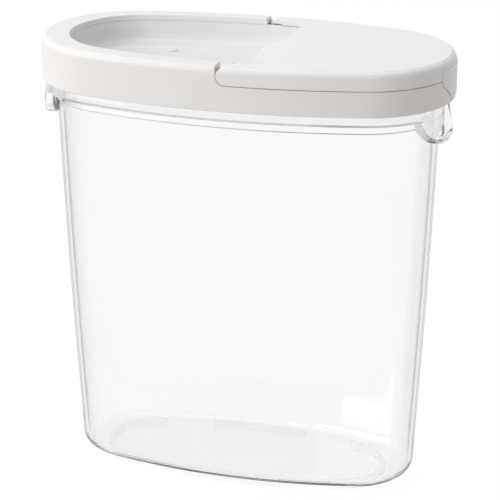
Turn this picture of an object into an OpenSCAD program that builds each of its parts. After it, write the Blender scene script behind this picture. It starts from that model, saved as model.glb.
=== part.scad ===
// Dry-food container with a push-on lid and a flip-up pour cover.
// Origin: middle of the base, on the surface it stands on. +X points to the pour end.
// Every outline is an oval of four arcs, and nested pieces share its arc centres.

/* [Overall] */
// Height from the feet to the top of the closed lid
overall_h = 185.6; // [160:0.1:220]
// Length of the lid along X
lid_len = 170; // [150:1:200]
// Width of the lid along Y
lid_wid = 84.6; // [80:0.1:96]

/* [Jar] */
// Wall thickness of the clear jar
jar_wall = 2; // [1.4:0.1:3]
// Thickness of the jar's floor
jar_floor = 2.4; // [1.6:0.1:4]
// How far the jar's wall lies inside the lid's outline below the collar
jar_inset = 5.6; // [5.3:0.1:7]
// How much further in the wall lies at the base, because the jar tapers
jar_taper = 7; // [3:0.1:9]
// How far the wall bows out between the base and the collar
jar_bow = 0.65; // [0:0.05:1.5]
// Radius of the rounded bottom edge
base_round = 6; // [4:0.1:9]
// Height of the foot ribs under the base
foot_h = 2.5; // [0.6:0.1:3.5]
// Width of the foot ribs
foot_w = 2.6; // [1.5:0.1:4]
// Length of the oval that the foot ribs follow
foot_len = 120; // [100:1:126]
// Width of the oval that the foot ribs follow
foot_wid = 47.5; // [30:0.1:49]
// Length of each straight foot rib
foot_bar_len = 42; // [20:1:60]
// Clear length between a straight rib and an end rib
foot_gap = 21; // [10:1:25]
// Height of the collar that shows under the lid
collar_h = 3.8; // [2:0.1:8]
// How far the collar stays inside the lid's outline
collar_inset = 0.5; // [0.3:0.1:2]
// Height of the thicker band under the collar
shoulder_h = 4.4; // [2:0.1:8]
// How far the thicker band stands out from the wall
shoulder_step = 0.7; // [0.3:0.1:1.2]
// Radius of the U-shaped lug under each end of the lid
lug_r = 22; // [20:0.1:27]
// Width of the lug's raised edge
lug_edge = 2.2; // [2:0.1:5]
// How far the lug hangs below the collar
lug_drop = 14; // [8:0.1:16]
// Depth of the thumb pocket inside the lug
lug_pocket = 3.4; // [1:0.1:3.4]
// Height of the slope that draws in the lug's lower edge
lug_slope = 2.5; // [1.5:0.1:6]

/* [Lid frame] */
// Height of the lid's side, from its lower edge to its top
lid_h = 17.6; // [16.5:0.1:20]
// Thickness of the lid's side wall
lid_wall = 2.2; // [1.8:0.1:2.6]
// Thickness of the lid's top band
lid_top = 2.2; // [1.6:0.1:2.6]
// Radius of the lid's rounded top edge
lid_round = 2.8; // [1.5:0.1:3.4]
// Thickness of the ledge that the cover closes down to
ledge_t = 1.8; // [1.2:0.1:2.4]
// Width of that ledge, from the lid's outline inwards
ledge_w = 7.9; // [6:0.1:8.2]
// Height of the bead inside the lid that holds the window deck
bead_h = 0.8; // [0.4:0.1:1.2]
// How far that bead reaches in under the deck
bead_w = 1; // [0.6:0.1:1.2]
// Width of the lid's top between its outline and the sunk window, at the lid's end
window_end_rim = 11.6; // [10:0.1:20]
// The same width along the lid's sides
window_side_rim = 8.5; // [7.8:0.1:12.3]

/* [Window tub] */
// Wall and floor thickness of the clear tub
tub_wall = 1.4; // [1:0.1:1.8]
// How far the tub's floor lies below the top of its step at the deck's underside
tub_sink = 2; // [0:0.1:2.4]
// Radius of the cove between the tub's wall and floor
tub_cove = 5; // [2:0.1:6.5]
// Length of the slope that rises from the tub's floor to the cover
ramp_run = 17; // [12:0.1:24]
// Thickness of the pour deck around the tub
deck_t = 1.6; // [1.2:0.1:2.4]
// Radius of the pour opening, about the centre of the lid's end
spout_r = 24; // [18:0.1:25]
// Distance from the tub's end wall to the pour opening
spout_back = 10; // [7:0.1:16]
// Corner radius at the back of the pour opening
spout_corner = 6; // [3:0.1:9]
// Thickness of the rim round the pour opening
spout_rim = 1.6; // [1.2:0.1:2.4]
// Height of the pour rim above the deck
spout_rim_h = 4.5; // [2:0.1:5.5]
// Diameter of the small gate mark on the tub's floor
gate_d = 5; // [3:0.1:8]
// Height of the gate mark
gate_h = 0.5; // [0.3:0.1:1]

/* [Flip cover] */
// Height of the cover's side
cover_h = 7.2; // [6.8:0.1:8]
// Thickness of the cover's top
cover_top = 2; // [1.5:0.1:2.2]
// Thickness of the cover's side wall
cover_wall = 2; // [1.5:0.1:2.2]
// Distance from the middle of the lid to the cover's straight edge
cover_edge = 15.8; // [13:0.1:20]
// Distance from the middle of the lid to the rounded end of the arms
arm_reach = 0; // [-1:0.1:2]
// How far the cover swings open, in degrees
open_angle = 100; // [90:1:104]
// Width of the pull tongue where it leaves the cover
tongue_w = 26; // [20:0.1:32]
// Width of the pull tongue at its tip
tongue_tip_w = 9; // [6:0.1:14]
// Thickness of the pull tongue
tongue_t = 2; // [1.4:0.1:2.4]
// How far the tongue stands out past the lid's outline
tongue_proud = 0.4; // [0.2:0.1:1]
// Distance from the tongue's tip to the lid's lower edge
tongue_lift = 1; // [0.6:0.1:3]
// Height of the rib that locates the seal under the cover
locator_h = 1.2; // [0.6:0.1:2]

/* [Hinge] */
// Diameter of the hinge pins on the cover
pin_d = 2.5; // [2:0.1:2.6]
// Radial play of a hinge pin in its eye
pin_play = 0.05; // [0.02:0.01:0.1]
// Wall round the hinge eye
eye_wall = 1.2; // [0.9:0.1:1.3]
// Thickness of the hinge ear along the pin
ear_t = 2.6; // [1.8:0.1:3]
// Width of the ear below its eye
ear_neck = 3; // [2:0.1:4]

/* [Seals] */
// Height of the seal between the lid and the jar
seal_h = 1.9; // [1.2:0.1:2.6]
// Width of that seal where it meets the jar's rim
seal_w = 3.8; // [3:0.1:5]
// Length of the lip that hangs inside the jar's mouth
seal_lip = 3; // [1.5:0.1:5]
// Thickness of that lip
seal_lip_t = 1.2; // [0.8:0.1:1.6]
// Width of the seal round the pour opening
spout_seal_w = 2.4; // [1.6:0.1:3.2]

/* [Clearances] */
// Gap between the cover and the frame, and between the skirt and the collar
run_gap = 0.3; // [0.2:0.05:0.5]
// Gap round a hinge ear inside the cover
ear_gap = 0.25; // [0.2:0.05:0.4]
// Gap between the window deck and the parts of the frame that it fits round
seat_gap = 0.1; // [0.05:0.05:0.2]
// Play between the jar's mouth and the seal's lip
mouth_play = 0.4; // [0.2:0.05:0.8]

/* [Hidden] */
$fn = 96;

far = 400;
overlap = 0.5;
// Straight steps in each rounded corner of a section, and up the jar's bowed wall
arc_steps = 8;
wall_steps = 6;

// An end arc and a side arc meet on a line with this run, rise and length, all whole numbers
joint_run = 16;
joint_rise = 63;
joint_len = 65;
// The zones of an oval reach this many times that far, and their arcs are first drawn too long
zone_reach = 5;
spare_angle = 1;
end_angle = atan2(joint_rise, joint_run);

// An oval is given by the centre and radius of its end arcs, then of its side arcs
function oval(len, wid) =
    let (k = round(500 * (len - wid) / (joint_run + joint_rise - joint_len)) / 1000)
    [joint_run * k, wid / 2 - (joint_len - joint_rise) * k, joint_rise * k, wid / 2 + joint_rise * k];
function half_wid_at(o, x) = sqrt(o[3] * o[3] - x * x) - o[2];

lid_oval = oval(lid_len, lid_wid);
window_len = lid_len - 2 * window_end_rim;
window_wid = lid_wid - 2 * window_side_rim;
window_oval = oval(window_len, window_wid);
foot_oval = oval(foot_len, foot_wid);
end_x = lid_oval[0];
end_r = lid_oval[1];

// Levels, from the top of the lid downwards
skirt_z = overall_h - lid_h;
band_z = overall_h - lid_top;
cover_z = overall_h - cover_h;
plate_z = overall_h - cover_top;
ledge_z = cover_z - run_gap;
deck_top_z = ledge_z - ledge_t;
deck_z = deck_top_z - deck_t;
tub_floor_z = deck_z + tub_wall - tub_sink;
tub_top_z = min(band_z, plate_z - run_gap);
rim_z = deck_z - seal_h;
collar_top_z = skirt_z - run_gap;
collar_z = collar_top_z - collar_h;
spout_top_z = deck_top_z + spout_rim_h;

// Half angles, about the centre of the lid's end, of the parts that sit on that end
recess_angle = 40;
lug_angle = 60;
pad_angle = asin((tongue_w / 2 + lid_wall) / end_r);

// Offsets from the lid's outline, negative towards the inside
wall_top_off = -jar_inset;
wall_base_off = -jar_inset - jar_taper;
shoulder_off = wall_top_off + shoulder_step;
neck_off = wall_top_off + shoulder_step;
deck_off = -lid_wall - run_gap;
pad_off = tongue_proud - tongue_t - run_gap;
function wall_share(z) = (z - foot_h) / (collar_z - foot_h);
function wall_off(z) = wall_base_off + jar_taper * wall_share(z)
    + 4 * jar_bow * wall_share(z) * (1 - wall_share(z));
mouth_off = wall_off(rim_z) - jar_wall;
seal_in = mouth_off - mouth_play - seal_lip_t;
tub_step = max(tub_wall, run_gap - seal_in - window_side_rim);

// The hinge line runs along Y, in the middle of the arms' rounded ends
hinge_r = cover_h / 2;
hinge_x = arm_reach + hinge_r;
hinge_z = cover_z + hinge_r;
eye_r = pin_d / 2 + pin_play;
ear_r = eye_r + eye_wall;

function arc_points(cx, cy, r, from, to, steps) =
    [for (i = [0:steps]) [cx + r * cos(from + (to - from) * i / steps),
                          cy + r * sin(from + (to - from) * i / steps)]];

ear_out_y = half_wid_at(lid_oval, hinge_x) - cover_wall - run_gap;
ear_in_y = ear_out_y - ear_t;
spout_back_x = cover_edge + tub_wall + spout_back;

// The plan's zones: beyond one end's arc centre, and along one side
module end_zone(o, s) {
    polygon([[s * o[0], 0],
             [s * (o[0] + zone_reach * joint_run), zone_reach * joint_rise],
             [s * (o[0] + zone_reach * joint_run), -zone_reach * joint_rise]]);
}

module side_zone(o, s) {
    polygon([[-o[0], 0], [o[0], 0],
             [o[0] + zone_reach * joint_run, s * zone_reach * joint_rise],
             [-o[0] - zone_reach * joint_run, s * zone_reach * joint_rise]]);
}

// Sweeps a profile round an oval. The profile's X is the distance out from the oval, its Y is height
module oval_sweep(o) {
    long_end = end_angle + spare_angle;
    long_side = 90 - end_angle + spare_angle;
    for (s = [-1, 1]) {
        intersection() {
            translate([s * o[0], 0, 0])
                rotate_extrude(angle = 2 * long_end, start = 90 - 90 * s - long_end)
                    translate([o[1], 0]) children();
            translate([0, 0, -far]) linear_extrude(2 * far) end_zone(o, s);
        }
        intersection() {
            translate([0, -s * o[2], 0])
                rotate_extrude(angle = 2 * long_side, start = 90 * s - long_side)
                    translate([o[3], 0]) children();
            translate([0, 0, -far]) linear_extrude(2 * far) side_zone(o, s);
        }
    }
}

// Sweeps the same kind of profile round the middle of one end only
module end_sweep(o, half_angle) {
    translate([o[0], 0, 0]) rotate_extrude(angle = 2 * half_angle, start = -half_angle)
        translate([o[1], 0]) children();
}

// The oval as a flat area, grown by a distance
module oval_area(o, grow) {
    for (s = [-1, 1]) {
        intersection() {
            translate([s * o[0], 0]) circle(r = o[1] + grow);
            end_zone(o, s);
        }
        intersection() {
            translate([0, -s * o[2]]) circle(r = o[3] + grow, $fn = 360);
            side_zone(o, s);
        }
    }
}

// A solid plate with the oval's outline
module oval_plate(o, grow, z, h) {
    translate([0, 0, z]) linear_extrude(h) oval_area(o, grow);
}

// Pushes a profile drawn in X and Z along the whole width, or between two distances along Y
module across(from = -far, to = far) {
    translate([0, to, 0]) rotate([90, 0, 0]) linear_extrude(to - from) children();
}

// Everything with X above or below a value
module keep_x(from, to) {
    translate([from, -far, -far]) cube([to - from, 2 * far, 2 * far]);
}

// The pour opening's outline: round towards the lid's end, with rounded corners at the back
module spout_area(grow) {
    side = spout_r - spout_corner;
    intersection() {
        translate([end_x, 0]) circle(r = spout_r + grow);
        translate([spout_back_x + spout_corner, -far]) square([far, 2 * far]);
    }
    translate([spout_back_x + spout_corner, -spout_r - grow])
        square([end_x - spout_back_x - spout_corner, 2 * (spout_r + grow)]);
    translate([spout_back_x - grow, -side]) square([spout_corner + grow + overlap, 2 * side]);
    for (s = [-1, 1]) translate([spout_back_x + spout_corner, s * side])
        circle(r = spout_corner + grow);
}

// Profile of the jar's wall, from the flat of the base up to the rim
module jar_profile() {
    low_z = foot_h + base_round;
    high_z = collar_z - shoulder_h;
    slope = atan((jar_taper + 4 * jar_bow) / (collar_z - foot_h));
    outer_x = wall_off(low_z) - base_round * cos(slope);
    inner_r = base_round - jar_wall;
    floor_x = outer_x - overlap;
    levels = [for (i = [1:wall_steps]) low_z + (high_z - low_z) * i / wall_steps];
    polygon(concat(
        [[floor_x, foot_h], [outer_x, foot_h]],
        arc_points(outer_x, foot_h + base_round, base_round, -90, -slope, arc_steps),
        [for (z = levels) [wall_off(z), z]],
        [[shoulder_off, high_z + shoulder_step],
         [shoulder_off, collar_z],
         [-collar_inset, collar_z],
         [-collar_inset, collar_top_z],
         [neck_off, collar_top_z],
         [neck_off, rim_z],
         [mouth_off, rim_z]],
        [for (i = [wall_steps - 1:-1:0]) [wall_off(levels[i]) - jar_wall, levels[i]]],
        arc_points(outer_x, foot_h + jar_floor + inner_r, inner_r, -slope, -90, arc_steps),
        [[floor_x, foot_h + jar_floor]]));
}

// Thumb lug under one end of the lid: a raised U-shaped edge round a shallow pocket
module lug() {
    reach = asin(lug_r / (end_r - jar_inset));
    centre_z = collar_z - lug_drop + lug_r;
    low_z = collar_z - lug_drop;
    inner = wall_top_off - jar_wall / 2;
    intersection() {
        end_sweep(lid_oval, reach) polygon([
            [inner, low_z - overlap], [inner + jar_wall, low_z - overlap],
            [-collar_inset, low_z + lug_slope], [-collar_inset, collar_z + overlap],
            [inner, collar_z + overlap]]);
        translate([0, 0, centre_z]) rotate([0, 90, 0]) cylinder(r = lug_r, h = far);
    }
}

module lug_pocket_space() {
    centre_z = collar_z - lug_drop + lug_r;
    intersection() {
        end_sweep(lid_oval, lug_angle) translate([-collar_inset - lug_pocket, collar_z - lug_r])
            square([lug_pocket + 2 * collar_inset + overlap, lug_r + far]);
        translate([0, 0, centre_z]) rotate([0, 90, 0]) cylinder(r = lug_r - lug_edge, h = far);
    }
}

module feet() {
    gap_in = foot_bar_len / 2;
    gap_out = gap_in + foot_gap;
    difference() {
        oval_sweep(foot_oval) translate([-foot_w / 2, 0]) square([foot_w, foot_h + overlap]);
        keep_x(gap_in, gap_out);
        keep_x(-gap_out, -gap_in);
    }
}

module jar() {
    color([0.9, 0.93, 0.94, 0.4]) union() {
        difference() {
            union() {
                oval_sweep(lid_oval) jar_profile();
                oval_plate(lid_oval, wall_base_off - base_round, foot_h, jar_floor);
                for (turn = [0, 180]) rotate([0, 0, turn]) lug();
            }
            for (turn = [0, 180]) rotate([0, 0, turn]) lug_pocket_space();
        }
        feet();
    }
}

// Side and top of the lid in section, with its rounded outer edge
module frame_profile() {
    inner = -lid_wall - lid_round;
    polygon(concat(
        [[-lid_wall, skirt_z], [0, skirt_z]],
        arc_points(-lid_round, overall_h - lid_round, lid_round, 0, 90, arc_steps),
        [[inner, overall_h], [inner, band_z], [-lid_wall, band_z]]));
}

// The pull tongue seen from the end: wide at the cover, curving in to its tip
module tongue_area(grow) {
    top = cover_z + hinge_r;
    tip = skirt_z + tongue_lift - grow;
    half = tongue_w / 2 + grow;
    half_tip = tongue_tip_w / 2 + grow;
    blend = (half - half_tip) / 2;
    rise = cover_z - tip;
    right = concat(
        [[half, top]],
        [for (i = [0:arc_steps])
            [half - blend * (1 - cos(180 * i / arc_steps)), cover_z - rise * i / arc_steps]]);
    polygon(concat(right, [for (i = [len(right) - 1:-1:0]) [-right[i][0], right[i][1]]]));
}

// The tongue's space along X, near the pour end
module along_end(from) {
    translate([from, 0, 0]) rotate([90, 0, 90]) linear_extrude(far) children();
}

// The room that the cover needs: round its hinge, above the ledge, and where its top leans when open
module cover_room() {
    across() {
        translate([hinge_x, hinge_z]) circle(r = hinge_r + run_gap);
        translate([hinge_x, ledge_z]) square([far, far]);
        translate([hinge_x, hinge_z]) rotate(open_angle)
            translate([0, -hinge_r]) square([far, 2 * hinge_r + run_gap / 2]);
    }
}

module hinge_ear(s) {
    from = s > 0 ? ear_in_y : -ear_out_y;
    difference() {
        across(from, from + ear_t) {
            translate([hinge_x, hinge_z]) circle(r = ear_r);
            translate([hinge_x - ear_neck / 2, ledge_z - overlap])
                square([ear_neck, hinge_z - ledge_z + overlap]);
        }
        across(from - overlap, from + ear_t + overlap) translate([hinge_x, hinge_z]) circle(r = eye_r);
    }
}

module lid_frame() {
    color([0.93, 0.92, 0.9]) union() {
        difference() {
            union() {
                oval_sweep(lid_oval) frame_profile();
                difference() {
                    oval_plate(lid_oval, -lid_wall, band_z, lid_top);
                    oval_plate(window_oval, 0, band_z - overlap, lid_top + 2 * overlap);
                }
                intersection() {
                    oval_sweep(lid_oval) translate([-ledge_w, deck_top_z])
                        square([ledge_w - lid_wall / 2, ledge_t]);
                    keep_x(hinge_x - hinge_r - run_gap - lid_wall, far);
                }
                end_sweep(lid_oval, pad_angle) translate([pad_off - lid_wall / 2, skirt_z])
                    square([lid_wall, ledge_z - skirt_z]);
                oval_sweep(lid_oval) translate([deck_off - bead_w, deck_z - bead_h])
                    square([bead_w + run_gap + lid_wall / 2, bead_h]);
            }
            cover_room();
            intersection() {
                oval_plate(window_oval, tub_wall + seat_gap, deck_z, ledge_z - deck_z);
                keep_x(-far, cover_edge + tub_wall + seat_gap);
            }
            intersection() {
                end_sweep(lid_oval, recess_angle) translate([pad_off, skirt_z - overlap])
                    square([far, far]);
                along_end(end_x) tongue_area(run_gap);
            }
        }
        for (s = [-1, 1]) hinge_ear(s);
    }
}

// The clear insert: a sunk tub under the window, a slope, and the deck with the pour opening
module window_deck() {
    end_wall_x = cover_edge + tub_wall;
    low_x = cover_edge - ramp_run;
    drop = tub_top_z - tub_floor_z;
    tilt = atan(drop / ramp_run);
    shift = tub_wall / cos(tilt);
    color([0.84, 0.87, 0.89, 0.6]) union() {
        difference() {
            oval_plate(lid_oval, deck_off, deck_z, deck_t);
            intersection() {
                oval_plate(window_oval, -overlap, deck_z - overlap, deck_t + 2 * overlap);
                keep_x(-far, cover_edge);
            }
            translate([0, 0, deck_z - overlap]) linear_extrude(far) spout_area(0);
            end_sweep(lid_oval, pad_angle + spare_angle)
                translate([pad_off - lid_wall / 2 - seat_gap, deck_z - overlap])
                    square([far, deck_t + 2 * overlap]);
        }
        intersection() {
            difference() {
                oval_plate(window_oval, tub_wall, deck_z, tub_top_z - deck_z);
                oval_plate(window_oval, 0, deck_z - overlap, far);
            }
            keep_x(-far, end_wall_x);
        }
        intersection() {
            union() {
                oval_plate(window_oval, tub_wall / 2, deck_z, far);
                oval_plate(window_oval, -tub_step - overlap, tub_floor_z - tub_wall, far);
            }
            across() polygon([
                [cover_edge, deck_z], [end_wall_x, deck_z], [end_wall_x, tub_top_z],
                [cover_edge, tub_top_z], [low_x, tub_floor_z], [low_x - tub_wall, tub_floor_z],
                [low_x - tub_wall, tub_floor_z - tub_wall], [low_x, tub_floor_z - tub_wall],
                [cover_edge, tub_top_z - shift]]);
        }
        intersection() {
            union() {
                oval_sweep(window_oval) polygon(concat(
                    [[-tub_step, tub_floor_z - tub_wall], [-tub_step, deck_z], [tub_wall / 2, deck_z],
                     [tub_wall / 2, tub_floor_z + tub_cove]],
                    arc_points(-tub_cove, tub_floor_z + tub_cove, tub_cove, 0, -90, arc_steps),
                    [[-tub_cove - overlap, tub_floor_z],
                     [-tub_cove - overlap, tub_floor_z - tub_wall]]));
                oval_plate(window_oval, -tub_cove, tub_floor_z - tub_wall, tub_wall);
            }
            across() polygon([
                [-far, 0], [low_x, 0], [low_x, tub_floor_z - tub_wall / 2],
                [cover_edge, tub_top_z - shift / 2], [cover_edge, far], [-far, far]]);
        }
        translate([-window_len / 4, window_wid / 4, tub_floor_z - overlap])
            cylinder(d = gate_d, h = gate_h + overlap);
        translate([0, 0, deck_z]) linear_extrude(spout_top_z - deck_z) difference() {
            spout_area(spout_rim);
            spout_area(0);
        }
    }
}

// Side and top of the cover in section
module cover_profile() {
    inner = -cover_wall - lid_round;
    polygon(concat(
        [[-cover_wall, cover_z], [0, cover_z]],
        arc_points(-lid_round, overall_h - lid_round, lid_round, 0, 90, arc_steps),
        [[inner, overall_h], [inner, plate_z], [-cover_wall, plate_z]]));
}

// The space that an ear takes inside the cover, from shut to fully open
module ear_room() {
    half = ear_neck / 2 + ear_gap;
    long = 2 * cover_h;
    lean = [-half * cos(open_angle), half * sin(open_angle)];
    tip = lean + long * [-sin(open_angle), -cos(open_angle)];
    for (s = [-1, 1]) {
        from = s > 0 ? ear_in_y - ear_gap : -ear_out_y - run_gap;
        across(from, from + ear_t + ear_gap + run_gap) translate([hinge_x, hinge_z]) {
            circle(r = ear_r + ear_gap);
            polygon([[half, -long], [half, 0], lean, tip, [-long, tip[1]], [-long, -long]]);
        }
    }
}

module flip_cover() {
    arm_in_y = window_wid / 2 + tub_wall + run_gap;
    tub_above = tub_top_z - hinge_z + run_gap;
    notch_x = (tub_above - hinge_r * cos(open_angle)) / sin(open_angle);
    color([0.95, 0.95, 0.94]) difference() {
        union() {
            intersection() {
                union() {
                    oval_sweep(lid_oval) cover_profile();
                    oval_plate(lid_oval, -cover_wall, plate_z, cover_top);
                }
                across() {
                    translate([hinge_x, hinge_z]) circle(r = hinge_r);
                    translate([hinge_x, cover_z]) square([far, cover_h]);
                }
            }
            intersection() {
                end_sweep(lid_oval, recess_angle) translate([tongue_proud - tongue_t, skirt_z])
                    square([tongue_t, hinge_z - skirt_z]);
                along_end(end_x) tongue_area(0);
            }
            for (s = [-1, 1]) {
                from = s > 0 ? ear_in_y : -ear_out_y - cover_wall;
                across(from, from + ear_t + cover_wall) translate([hinge_x, hinge_z])
                    circle(r = pin_d / 2);
            }
            translate([0, 0, plate_z - locator_h]) linear_extrude(locator_h + overlap)
                difference() {
                    spout_area(-spout_seal_w);
                    spout_area(-spout_seal_w - spout_rim);
                }
        }
        intersection() {
            oval_plate(window_oval, 0, cover_z - overlap, far);
            keep_x(-far, cover_edge);
        }
        translate([-far, -arm_in_y, cover_z - overlap])
            cube([far + hinge_x + notch_x, 2 * arm_in_y, far]);
        difference() {
            ear_room();
            across() translate([hinge_x, hinge_z]) circle(r = pin_d / 2);
        }
    }
}

// Silicone ring between the lid and the jar's rim, with a lip inside the mouth
module jar_seal() {
    color([0.86, 0.87, 0.87]) oval_sweep(lid_oval) polygon([
        [seal_in, rim_z - seal_lip], [seal_in + seal_lip_t, rim_z - seal_lip],
        [seal_in + seal_lip_t, rim_z], [seal_in + seal_w + seal_lip_t, rim_z],
        [seal_in + seal_w + seal_lip_t, deck_z], [seal_in, deck_z]]);
}

// Silicone ring on the pour rim, which the shut cover presses on
module spout_seal() {
    color([0.86, 0.87, 0.87]) translate([0, 0, spout_top_z])
        linear_extrude(plate_z - spout_top_z) difference() {
            spout_area((spout_rim + spout_seal_w) / 2);
            spout_area((spout_rim - spout_seal_w) / 2);
        }
}

jar();
lid_frame();
window_deck();
flip_cover();
jar_seal();
spout_seal();
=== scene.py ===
import math

import bpy
from mathutils import Matrix, Vector

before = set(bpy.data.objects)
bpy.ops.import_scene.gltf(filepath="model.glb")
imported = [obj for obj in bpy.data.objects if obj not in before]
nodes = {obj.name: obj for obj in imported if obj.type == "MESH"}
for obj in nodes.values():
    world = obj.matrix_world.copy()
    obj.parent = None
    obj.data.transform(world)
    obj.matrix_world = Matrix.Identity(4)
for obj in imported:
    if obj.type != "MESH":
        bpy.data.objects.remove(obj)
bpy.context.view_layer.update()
scene = bpy.context.scene
print("frame loaded:", sorted(nodes))


# node helpers that the plastics share
def startMaterial(name):
    material = bpy.data.materials.new(name)
    material.use_nodes = True
    tree = material.node_tree
    tree.nodes.clear()
    return material, tree, tree.nodes.new("ShaderNodeOutputMaterial")


def noiseAt(tree, scale, detail=2.0, rough=0.5):
    place = tree.nodes.new("ShaderNodeTexCoord")
    noise = tree.nodes.new("ShaderNodeTexNoise")
    noise.inputs["Scale"].default_value = scale
    noise.inputs["Detail"].default_value = detail
    noise.inputs["Roughness"].default_value = rough
    tree.links.new(place.outputs["Object"], noise.inputs["Vector"])
    return noise.outputs["Fac"]


# most of a noise's values lie between these two, so they give a range its full reach
noiseSpan = (0.3, 0.7)


def tintOf(tree, source, dark, light):
    ramp = tree.nodes.new("ShaderNodeValToRGB")
    first, last = ramp.color_ramp.elements
    first.position, last.position = noiseSpan
    first.color = (*dark, 1)
    last.color = (*light, 1)
    tree.links.new(source, ramp.inputs["Fac"])
    return ramp.outputs["Color"]


def rangeOf(tree, source, low, high, span=noiseSpan):
    change = tree.nodes.new("ShaderNodeMapRange")
    change.inputs["From Min"].default_value = span[0]
    change.inputs["From Max"].default_value = span[1]
    change.inputs["To Min"].default_value = low
    change.inputs["To Max"].default_value = high
    tree.links.new(source, change.inputs["Value"])
    return change.outputs["Result"]


def bumpOf(tree, source, strength, depth, below=None):
    bump = tree.nodes.new("ShaderNodeBump")
    bump.inputs["Strength"].default_value = strength
    bump.inputs["Distance"].default_value = depth
    tree.links.new(source, bump.inputs["Height"])
    if below is not None:
        tree.links.new(below, bump.inputs["Normal"])
    return bump.outputs["Normal"]


def mathOf(tree, kind, first, second):
    step = tree.nodes.new("ShaderNodeMath")
    step.operation = kind
    tree.links.new(first, step.inputs[0])
    tree.links.new(second, step.inputs[1])
    return step.outputs["Value"]


def blendOf(tree, share, first, second):
    blend = tree.nodes.new("ShaderNodeMixShader")
    if isinstance(share, float):
        blend.inputs["Fac"].default_value = share
    else:
        tree.links.new(share, blend.inputs["Fac"])
    tree.links.new(first, blend.inputs[1])
    tree.links.new(second, blend.inputs[2])
    return blend.outputs["Shader"]


def tintedGap(tree, tint):
    gap = tree.nodes.new("ShaderNodeBsdfTransparent")
    gap.inputs["Color"].default_value = (*tint, 1)
    return gap.outputs["BSDF"]


def wear(node, material):
    nodes[node].data.materials.clear()
    nodes[node].data.materials.append(material)


# satin white plastic: slow colour drift, flow marks and a fine spark-eroded grain
def satinPlastic(look):
    material, tree, out = startMaterial(look["name"])
    flow = noiseAt(tree, look["flowScale"], detail=3.0)
    grain = noiseAt(tree, look["grainScale"], rough=0.6)
    tint = tintOf(tree, noiseAt(tree, look["driftScale"]), look["dark"], look["light"])
    shader = tree.nodes.new("ShaderNodeBsdfPrincipled")
    tree.links.new(tint, shader.inputs["Base Color"])
    polish = rangeOf(tree, flow, look["smooth"], look["rough"])
    tree.links.new(polish, shader.inputs["Roughness"])
    waves = bumpOf(tree, flow, look["flow"], look["flowDepth"])
    skin = bumpOf(tree, grain, look["grain"], look["grainDepth"], waves)
    tree.links.new(skin, shader.inputs["Normal"])
    shader.inputs["IOR"].default_value = look["ior"]
    shader.inputs["Subsurface Weight"].default_value = look["inside"]
    shader.inputs["Subsurface Radius"].default_value = look["insideTint"]
    shader.inputs["Subsurface Scale"].default_value = look["insideDepth"]
    tree.links.new(shader.outputs["BSDF"], out.inputs["Surface"])
    return material


lidFrame = {
    "name": "satinLid",
    "light": (0.87, 0.853, 0.838),
    "dark": (0.85, 0.833, 0.816),
    "driftScale": 22.0,         # patches about 45 mm across
    "flowScale": 60.0,
    "flow": 0.05,
    "flowDepth": 0.0004,
    "smooth": 0.38,
    "rough": 0.48,
    "grain": 0.12,
    "grainScale": 2600.0,
    "grainDepth": 0.00004,
    "ior": 1.5,
    "inside": 0.15,             # share of light that goes in and comes out close by
    "insideTint": (1.0, 0.9, 0.8),
    "insideDepth": 0.002,
}
flipCover = dict(
    lidFrame,
    name="satinCover",
    light=(0.89, 0.875, 0.865),
    dark=(0.87, 0.855, 0.843),
    grain=0.10,
)
wear("lid_frame", satinPlastic(lidFrame))
wear("flip_cover", satinPlastic(flipCover))
print("white plastic made")


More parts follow.
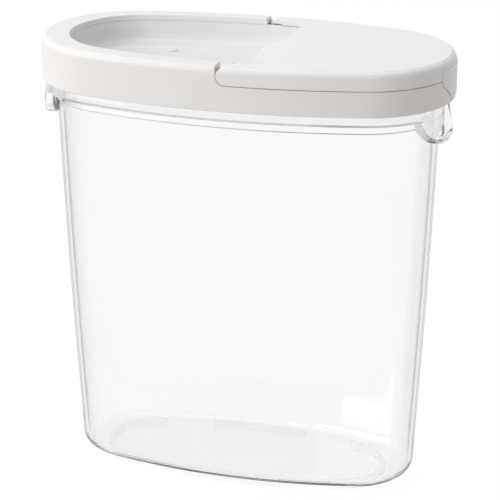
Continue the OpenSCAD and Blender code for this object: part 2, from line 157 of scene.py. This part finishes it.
# clear plastic: polished, with faint flow waves and a grey depth, and painted shade that greys the
# colour where the wall turns away
def clearPlastic(look):
    material, tree, out = startMaterial(look["name"])
    waves = noiseAt(tree, look["waveScale"], detail=1.0)
    haze = noiseAt(tree, look["hazeScale"])
    place = tree.nodes.new("ShaderNodeTexCoord")
    split = tree.nodes.new("ShaderNodeSeparateXYZ")
    tree.links.new(place.outputs["Object"], split.inputs["Vector"])
    height = split.outputs["Z"]
    layer = tree.nodes.new("ShaderNodeLayerWeight")
    layer.inputs["Blend"].default_value = 0.5   # plain angle, with no bias
    turned = layer.outputs["Facing"]

    shader = tree.nodes.new("ShaderNodeBsdfPrincipled")
    shader.inputs["Transmission Weight"].default_value = 1.0
    shader.inputs["IOR"].default_value = look["ior"]
    # painted shade: the colour turns grey where the wall is seen edge on
    rim = tree.nodes.new("ShaderNodeMix")
    rim.data_type = "RGBA"
    rim.inputs["B"].default_value = (*look["rim"], 1)
    tree.links.new(rangeOf(tree, turned, 0.0, 1.0, look["rimTurn"]), rim.inputs["Factor"])
    tree.links.new(tintOf(tree, waves, look["dark"], look["light"]), rim.inputs["A"])
    tree.links.new(rim.outputs["Result"], shader.inputs["Base Color"])
    tree.links.new(rangeOf(tree, haze, 0.0, look["haze"]), shader.inputs["Roughness"])
    tree.links.new(bumpOf(tree, waves, look["wave"], look["waveDepth"]), shader.inputs["Normal"])

    # a grazing ray would only trace the mesh's facets, so the wall seen side on is painted shade, a
    # plain grey line
    grazing = rangeOf(tree, turned, 0.0, 1.0, look["outlineTurn"])
    above = rangeOf(tree, height, 0.0, 1.0, look["outlineHeights"])
    outlineShare = mathOf(tree, "MULTIPLY", grazing, above)
    wall = blendOf(tree, outlineShare, shader.outputs["BSDF"], tintedGap(tree, look["outline"]))

    # painted shade: a dark line where the turn of the base is seen edge on, between two heights
    under = rangeOf(tree, turned, 0.0, 1.0, look["baseLineTurn"])
    lower = rangeOf(tree, height, 0.0, 1.0, look["baseLineStart"])
    upper = rangeOf(tree, height, 1.0, 0.0, look["baseLineEnd"])
    paintedBaseShadeShare = mathOf(tree, "MULTIPLY", under, mathOf(tree, "MULTIPLY", lower, upper))
    wall = blendOf(tree, paintedBaseShadeShare, wall, tintedGap(tree, look["paintedBaseShade"]))

    # lamps and soft light pass straight through, and so does a ray that has bounced often inside
    path = tree.nodes.new("ShaderNodeLightPath")
    limit = rangeOf(tree, height, look["bounces"], look["lugBounces"], look["lugHeights"])
    deep = mathOf(tree, "GREATER_THAN", path.outputs["Ray Depth"], limit)
    soft = mathOf(tree, "MAXIMUM", path.outputs["Is Shadow Ray"], path.outputs["Is Diffuse Ray"])
    straight = mathOf(tree, "MAXIMUM", soft, deep)
    surface = blendOf(tree, straight, wall, tintedGap(tree, look["through"]))
    tree.links.new(surface, out.inputs["Surface"])

    depth = tree.nodes.new("ShaderNodeVolumeAbsorption")
    depth.inputs["Color"].default_value = (*look["edge"], 1)
    depth.inputs["Density"].default_value = look["edgeDensity"]
    tree.links.new(depth.outputs["Volume"], out.inputs["Volume"])
    return material


# a turn is 0 where the wall faces the eye and 1 where it is seen edge on; heights are in metres
clearJar = {
    "name": "clearJar",
    "ior": 1.49,
    "light": (0.995, 0.998, 0.995),
    "dark": (0.985, 0.99, 0.985),
    "waveScale": 14.0,
    "wave": 0.15,
    "waveDepth": 0.0004,
    "hazeScale": 400.0,
    "haze": 0.02,
    # painted shade greying the wall seen edge on, and the turns where it starts and ends
    "rim": (0.70, 0.70, 0.69),
    "rimTurn": (0.35, 0.95),
    # painted shade: the grey line where the wall is seen edge on, with the turns and heights where it
    # lies
    "outline": (0.88, 0.88, 0.875),
    "outlineTurn": (0.72, 0.90),
    "outlineHeights": (0.006, 0.016),
    # painted shade: the dark line at the turn of the base, with its turns and heights
    "paintedBaseShade": (0.30, 0.30, 0.29),
    "baseLineTurn": (0.62, 0.80),
    "baseLineStart": (0.0026, 0.0028),
    "baseLineEnd": (0.0038, 0.0044),
    "bounces": 7.0,             # a ray that has bounced more often goes straight on
    "lugBounces": 2.0,          # fewer in the collar and lugs, which would turn dark
    "lugHeights": (0.143, 0.148),
    "through": (0.97, 0.97, 0.97),
    "edge": (0.34, 0.34, 0.32),
    "edgeDensity": 22.0,        # per metre
}
wear("jar", clearPlastic(clearJar))
print("clear plastic made")


# milky plastic and silicone: a part shows what lies behind, the rest scatters light under a smooth skin
def milkyPlastic(look):
    material, tree, out = startMaterial(look["name"])
    fine = noiseAt(tree, look["fineScale"])
    tint = tintOf(tree, noiseAt(tree, look["driftScale"]), look["dark"], look["light"])
    body = tree.nodes.new("ShaderNodeBsdfPrincipled")
    tree.links.new(tint, body.inputs["Base Color"])
    tree.links.new(rangeOf(tree, fine, look["smooth"], look["rough"]), body.inputs["Roughness"])
    tree.links.new(bumpOf(tree, fine, look["grain"], look["grainDepth"]), body.inputs["Normal"])
    body.inputs["IOR"].default_value = look["ior"]
    inner = tree.nodes.new("ShaderNodeBsdfTranslucent")
    tree.links.new(tint, inner.inputs["Color"])
    soft = blendOf(tree, look["glow"], body.outputs["BSDF"], inner.outputs["BSDF"])
    surface = blendOf(tree, look["clear"], soft, tintedGap(tree, look["through"]))
    tree.links.new(surface, out.inputs["Surface"])
    return material


windowDeck = {
    "name": "milkyWindow",
    "ior": 1.49,
    "light": (0.90, 0.905, 0.905),
    "dark": (0.885, 0.89, 0.89),
    "through": (0.96, 0.96, 0.96),
    "driftScale": 30.0,
    "fineScale": 900.0,
    "grain": 0.03,
    "grainDepth": 0.00005,
    "smooth": 0.14,
    "rough": 0.22,
    "glow": 0.02,               # share lit from behind
    "clear": 0.06,              # share that shows what lies behind
}
sealRings = dict(
    windowDeck,
    name="silicone",
    light=(0.80, 0.81, 0.81),
    dark=(0.78, 0.79, 0.79),
    smooth=0.4,
    rough=0.5,
    glow=0.5,
    clear=0.35,
)
wear("window_deck", milkyPlastic(windowDeck))
silicone = milkyPlastic(sealRings)
wear("jar_seal", silicone)
wear("spout_seal", silicone)
print("milky plastic and silicone made")


# 1 for a ray from the camera, or one that reaches it by gloss or through clear plastic
def seenRay(tree):
    path = tree.nodes.new("ShaderNodeLightPath")
    bent = mathOf(tree, "MAXIMUM", path.outputs["Is Glossy Ray"], path.outputs["Is Transmission Ray"])
    return mathOf(tree, "MAXIMUM", path.outputs["Is Camera Ray"], bent)


whiteFloor = {
    "reach": 6.0,
    "lit": (0.14, 0.14, 0.14),  # this share keeps the shadow
    "seenGlow": 0.90,           # how white the floor looks
    "softGlow": 0.54,           # how much it lights the object
    "softTint": (1.0, 0.965, 0.92),
}


def makeFloor(look):
    mesh = bpy.data.meshes.new("floor")
    reach = look["reach"]
    corners = [(-reach, -reach, 0), (reach, -reach, 0), (reach, reach, 0), (-reach, reach, 0)]
    mesh.from_pydata(corners, [], [(0, 1, 2, 3)])
    floor = bpy.data.objects.new("floor", mesh)
    scene.collection.objects.link(floor)
    material, tree, out = startMaterial("floorWhite")
    lit = tree.nodes.new("ShaderNodeBsdfDiffuse")
    lit.inputs["Color"].default_value = (*look["lit"], 1)
    soft = tree.nodes.new("ShaderNodeEmission")
    soft.inputs["Color"].default_value = (*look["softTint"], 1)
    soft.inputs["Strength"].default_value = look["softGlow"]
    seen = tree.nodes.new("ShaderNodeEmission")
    seen.inputs["Strength"].default_value = look["seenGlow"]
    glow = blendOf(tree, seenRay(tree), soft.outputs["Emission"], seen.outputs["Emission"])
    both = tree.nodes.new("ShaderNodeAddShader")
    tree.links.new(lit.outputs["BSDF"], both.inputs[0])
    tree.links.new(glow, both.inputs[1])
    tree.links.new(both.outputs["Shader"], out.inputs["Surface"])
    mesh.materials.append(material)


makeFloor(whiteFloor)
print("floor made")

studioRoom = {
    "tint": (0.985, 0.985, 1.0),
    "soft": 0.37,               # how much the room lights the object
    "seenTint": (1.0, 1.0, 1.0),
    "seen": 1.0,                # how white it looks behind the object
}


def makeRoom(look):
    world = bpy.data.worlds.new("studio")
    scene.world = world
    world.use_nodes = True
    tree = world.node_tree
    tree.nodes.clear()
    out = tree.nodes.new("ShaderNodeOutputWorld")
    room = tree.nodes.new("ShaderNodeBackground")
    room.inputs["Color"].default_value = (*look["tint"], 1)
    room.inputs["Strength"].default_value = look["soft"]
    seen = tree.nodes.new("ShaderNodeBackground")
    seen.inputs["Color"].default_value = (*look["seenTint"], 1)
    seen.inputs["Strength"].default_value = look["seen"]
    both = blendOf(tree, seenRay(tree), room.outputs["Background"], seen.outputs["Background"])
    tree.links.new(both, out.inputs["Surface"])


makeRoom(studioRoom)

# places and sizes in metres, power in watts
lamps = {
    "keyLight": {"place": (-0.9, -0.8, 0.8), "size": (0.9, 0.9), "power": 11.0},
    "topLight": {"place": (-0.1, 0.3, 1.3), "size": (1.3, 1.0), "power": 6.0},
}
lampTarget = Vector((0, 0, 0.09))
for name, lamp in lamps.items():
    data = bpy.data.lights.new(name, "AREA")
    data.shape = "RECTANGLE"
    data.size, data.size_y = lamp["size"]
    data.energy = lamp["power"]
    light = bpy.data.objects.new(name, data)
    light.location = lamp["place"]
    aim = lampTarget - light.location
    light.rotation_euler = aim.to_track_quat("-Z", "Y").to_euler()
    scene.collection.objects.link(light)
print("room and lamps made")

shot = {
    "azimuth": 16.1,            # degrees round from the front, towards the pour end
    "elevation": 21.2,
    "distance": 0.836,
    "lookAt": 0.0893,           # height of the point it turns about
    "lens": 144.2,
    "sensor": 36,
    "nearest": 0.01,
    "yaw": 0.002,               # small turns that put the object where the photograph has it
    "pitch": 0.007,
}


def makeCamera(shot):
    azimuth = math.radians(shot["azimuth"])
    elevation = math.radians(shot["elevation"])
    across, along = math.sin(azimuth), math.cos(azimuth)
    back = Vector((across * math.cos(elevation), -along * math.cos(elevation), math.sin(elevation)))
    right = Vector((along, across, 0))
    forward = (-back + right * shot["yaw"] + back.cross(right) * shot["pitch"]).normalized()
    side = forward.cross(Vector((0, 0, 1))).normalized()
    data = bpy.data.cameras.new("camera")
    data.lens = shot["lens"]
    data.sensor_width = shot["sensor"]
    data.clip_start = shot["nearest"]
    camera = bpy.data.objects.new("camera", data)
    place = Vector((0, 0, shot["lookAt"])) + back * shot["distance"]
    turn = Matrix((side, side.cross(forward), -forward)).transposed().to_4x4()
    camera.matrix_world = Matrix.Translation(place) @ turn
    scene.collection.objects.link(camera)
    scene.camera = camera


makeCamera(shot)
scene.view_settings.view_transform = "Standard"
print("camera made")
